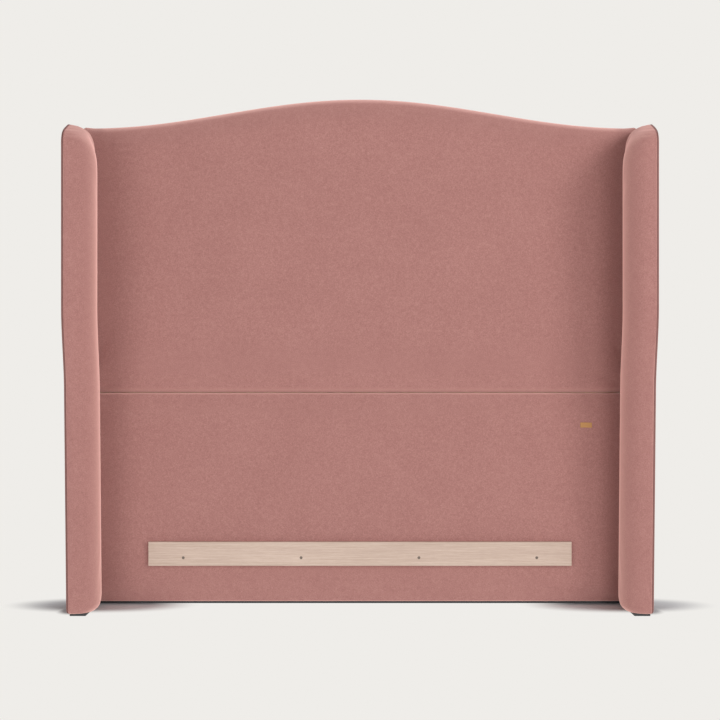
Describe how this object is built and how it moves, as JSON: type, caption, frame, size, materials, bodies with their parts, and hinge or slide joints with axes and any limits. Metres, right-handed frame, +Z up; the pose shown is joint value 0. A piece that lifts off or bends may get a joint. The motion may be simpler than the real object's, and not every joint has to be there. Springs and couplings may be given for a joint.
{
  "type": "upholstered wing headboard",
  "caption": "Free-standing arched headboard with two padded side wings, covered in velvet, with a low timber batten that a bed base is screwed to.",
  "frame": {"origin": "middle of the footprint, on the floor", "axes": "+X to the right seen from the front, along the width; -Y towards the bed, out of the front; +Z up"},
  "size_m": [1.55, 0.32, 1.4],
  "materials": {
    "velvet": "dusty rose short-pile velvet with a strong edge sheen",
    "foam": "cream upholstery foam and wadding",
    "lining": "black non-woven dust cover",
    "softwood": "planed pine, unfinished",
    "plywood": "unfinished plywood",
    "pale_oak": "pale oak, open grain, matt",
    "black_plastic": "black moulded strip, matt",
    "zinc": "dull zinc plate",
    "tag": "mustard woven tape"
  },
  "bodies": {
    "root": {"left_stile": "softwood", "right_stile": "softwood", "top_rail": "softwood", "mid_rail": "softwood", "batten_rail": "softwood", "bottom_rail": "softwood", "upper_post": "softwood", "lower_post": "softwood", "upper_board": "plywood", "lower_board": "plywood", "upper_foam": "foam", "lower_foam": "foam", "batten_packer": "plywood", "left_wing_packers": "plywood", "right_wing_packers": "plywood", "upper_cover": "velvet", "lower_cover": "velvet", "back_lining": "lining", "lining_staples": "zinc", "base_strip": "black_plastic", "strip_screws": "zinc", "fixing_batten": "pale_oak", "batten_screws": "zinc", "blank_tag": "tag", "frame_screws": "zinc", "left_wing_board": "plywood", "right_wing_board": "plywood", "left_wing_post": "softwood", "right_wing_post": "softwood", "left_wing_foam": "foam", "right_wing_foam": "foam", "left_wing_cover": "velvet", "right_wing_cover": "velvet", "left_wing_wadding": "foam", "right_wing_wadding": "foam", "left_wing_side_cover": "velvet", "right_wing_side_cover": "velvet", "left_wing_bolts": "zinc", "right_wing_bolts": "zinc", "left_wing_washers": "zinc", "right_wing_washers": "zinc", "left_wing_inserts": "zinc", "right_wing_inserts": "zinc", "left_wing_strip": "black_plastic", "right_wing_strip": "black_plastic"}
  },
  "joints": []
}
